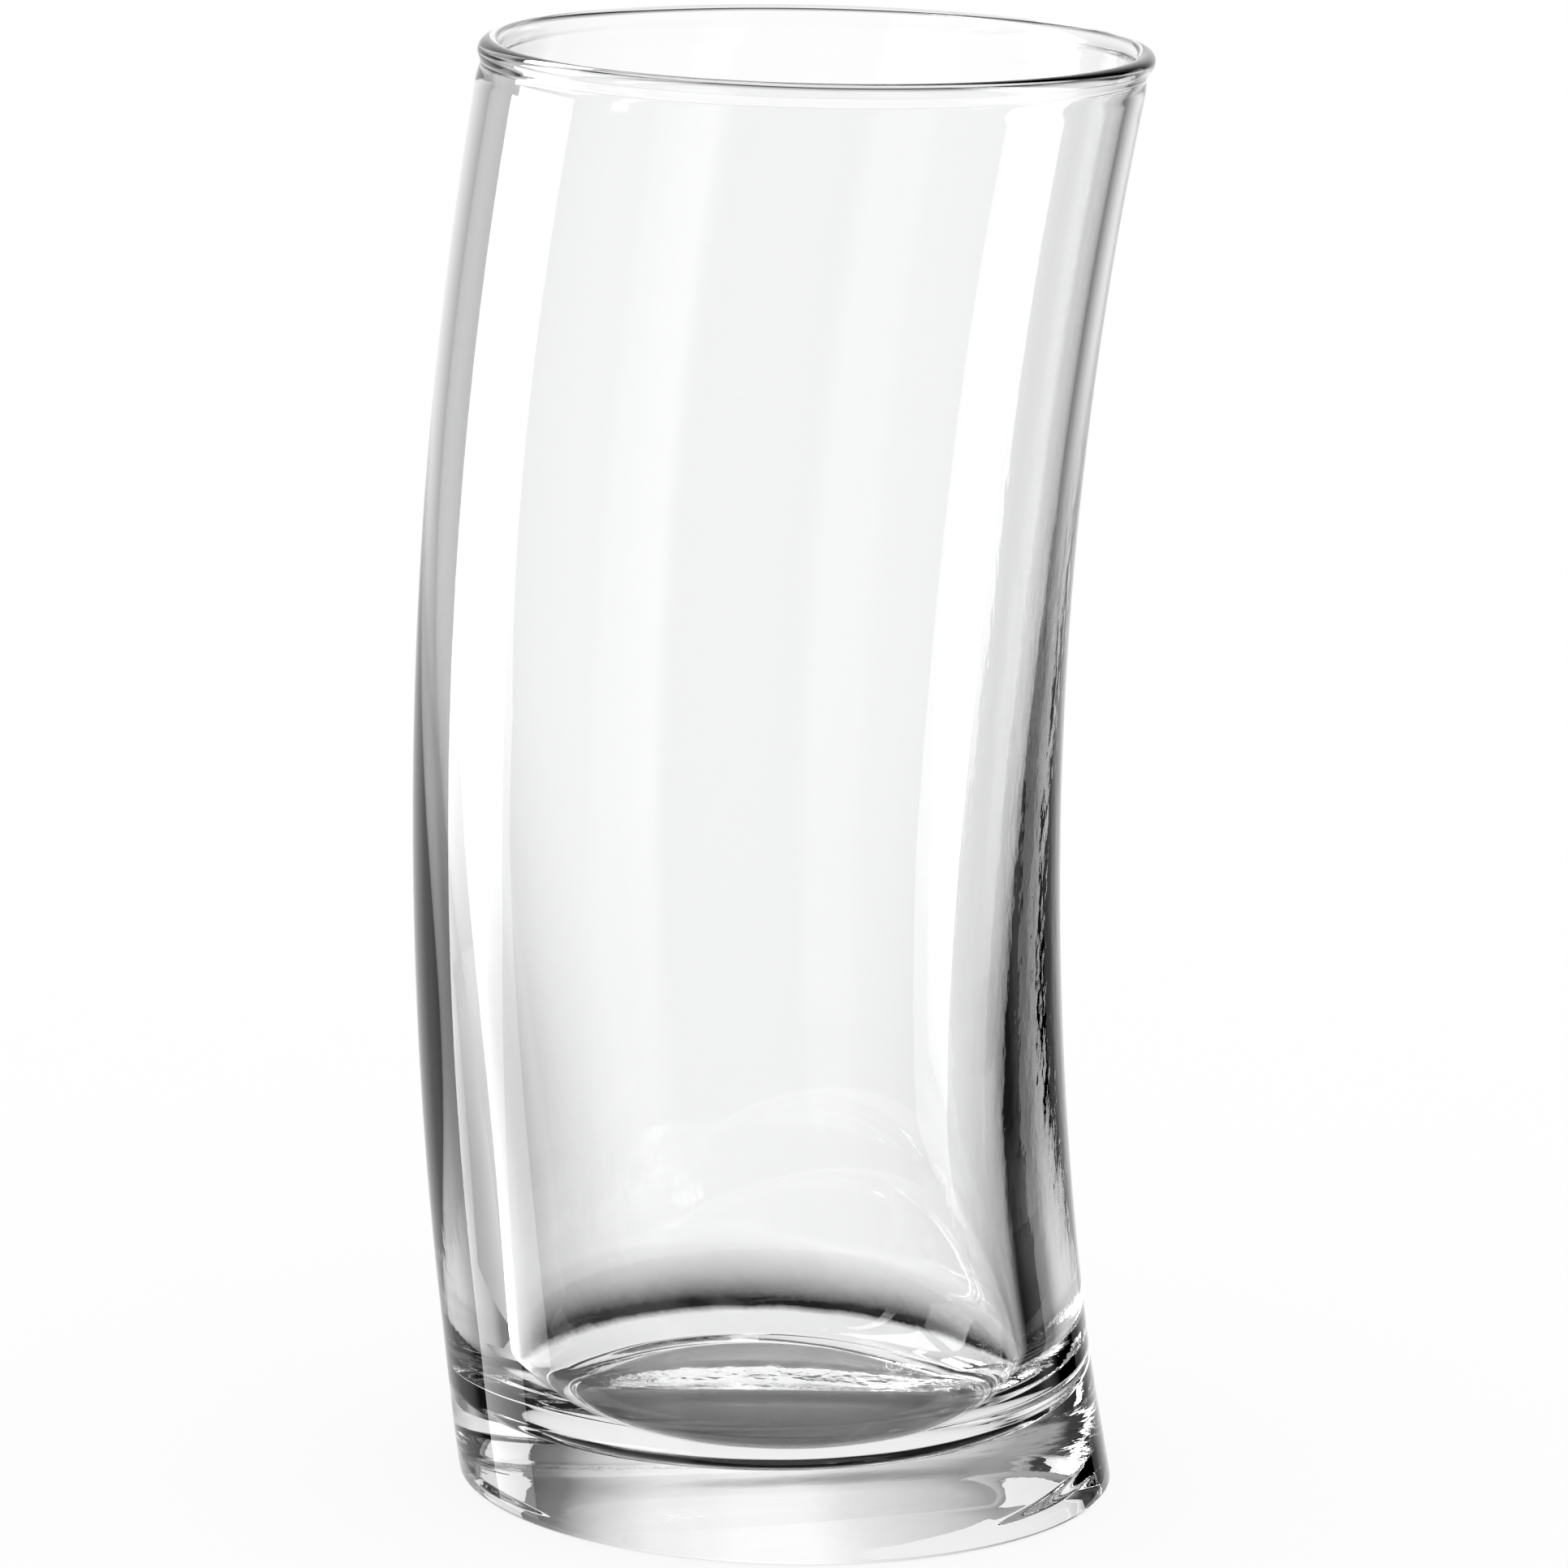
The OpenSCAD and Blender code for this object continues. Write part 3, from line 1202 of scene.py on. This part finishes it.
@dataclass(frozen=True)
class Viewpoint:
    """Camera of the photograph, found from the glass's outline.

    Args:
        distance: Distance from the point that it looks at.
        above: How far above level it stands, in radians.
        roll: How far it is turned about its own axis, in radians.
        aim_x: X of the point that it looks at.
        aim_z: Height of that point.
        focal_px: Focal length, in pixels of the photograph.
        nearest: Nearest distance that it shows.
    """

    distance: float = 752.6 * MM
    above: float = 0.2156
    roll: float = 0.0232
    aim_x: float = -1.61 * MM
    aim_z: float = 68.42 * MM
    focal_px: float = 9640.5
    nearest: float = 10.0 * MM

    def camera(self) -> None:
        """Camera looking along +Y and down at the glass, turned a little about its own axis."""
        data = bpy.data.cameras.new("camera")
        data.sensor_width = SENSOR_MM
        data.lens = self.focal_px / PHOTO_SIDE_PX * SENSOR_MM
        data.clip_start = self.nearest
        made = bpy.data.objects.new("camera", data)
        bpy.context.collection.objects.link(made)
        back = Vector((0.0, -math.cos(self.above), math.sin(self.above)))
        right = Vector((1.0, 0.0, 0.0))
        up = back.cross(right)
        turned_right = math.cos(self.roll) * right + math.sin(self.roll) * up
        turned_up = math.cos(self.roll) * up - math.sin(self.roll) * right
        place = Vector((self.aim_x, 0.0, self.aim_z)) + self.distance * back
        axes = Matrix((turned_right, turned_up, back)).transposed()
        made.matrix_world = Matrix.Translation(place) @ axes.to_4x4()
        bpy.context.scene.camera = made


SOFTBOX_BACK = (-304.0 * MM, 161.0 * MM)
SOFTBOX_FRONT = (-445.0 * MM, -19.0 * MM)
STRIP_FRONT = (-540.0 * MM, -270.0 * MM)
FAR_CARD_R = 600.0 * MM
LIGHTS = (
    Softbox(
        "softbox",
        SOFTBOX_BACK,
        (
            Rung(-330.0 * MM, (-435.0 * MM, 95.0 * MM), (1.5, 0.9)),
            Rung(-110.0 * MM, (-442.9 * MM, 5.4 * MM), (3.2, 2.0)),
            Rung(-50.0 * MM, SOFTBOX_FRONT, (5.5, 2.7)),
            Rung(165.0 * MM, SOFTBOX_FRONT, (5.5, 2.7)),
        ),
    ),
    Softbox(
        "high_softbox",
        SOFTBOX_BACK,
        (
            Rung(220.0 * MM, SOFTBOX_FRONT, (7.0, 6.0)),
            Rung(1200.0 * MM, SOFTBOX_FRONT, (10.0, 9.0)),
        ),
    ),
    Softbox(
        "strip_light",
        (-567.0 * MM, -206.0 * MM),
        (
            Rung(220.0 * MM, STRIP_FRONT, (0.3, 0.3)),
            Rung(300.0 * MM, STRIP_FRONT, (5.0, 5.0)),
            Rung(1200.0 * MM, STRIP_FRONT, (5.0, 5.0)),
        ),
    ),
    Card("dark_card", 54.0, 67.0, -60.0 * MM, 38.0 * MM),
    Card("low_dark_card", 67.0, 92.0, 7.0 * MM, 15.0 * MM),
    Card("pale_card", -62.0, -40.0, -330.0 * MM, -250.0 * MM, (0.5, 0.05), 1.8, FAR_CARD_R),
    Card("right_card", 38.0, 54.0, 90.0 * MM, 260.0 * MM, (0.7, 0.9), radius=FAR_CARD_R),
    Card("far_dark_card", 57.0, 92.0, 60.0 * MM, 260.0 * MM, radius=FAR_CARD_R),
)


def render_settings() -> None:
    """Plain colours, and enough bounces for light to pass every wall of the glass."""
    scene = bpy.context.scene
    scene.view_settings.view_transform = "Standard"
    scene.cycles.max_bounces = 24
    scene.cycles.transmission_bounces = 16
    scene.cycles.glossy_bounces = 7
    scene.cycles.transparent_max_bounces = 32
    scene.cycles.caustics_reflective = False
    scene.cycles.caustics_refractive = False


def main() -> None:
    """Loads the frame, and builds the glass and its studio."""
    logging.basicConfig(level=logging.INFO)
    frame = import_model()
    LOG.info("frame: %s", ", ".join(frame["nodes"]))
    Viewpoint().camera()
    glass = glass_from_frame()
    made = glass.build()
    glass.dress(made, ClearGlass())
    LOG.info("glass: %d points, %d faces", len(made.data.vertices), len(made.data.polygons))
    studio = Studio()
    studio.world()
    studio.floor()
    for light in LIGHTS:
        light.sheet().build()
        LOG.info("stage: %s", light.name)
    render_settings()


if __name__ == "__main__":
    main()
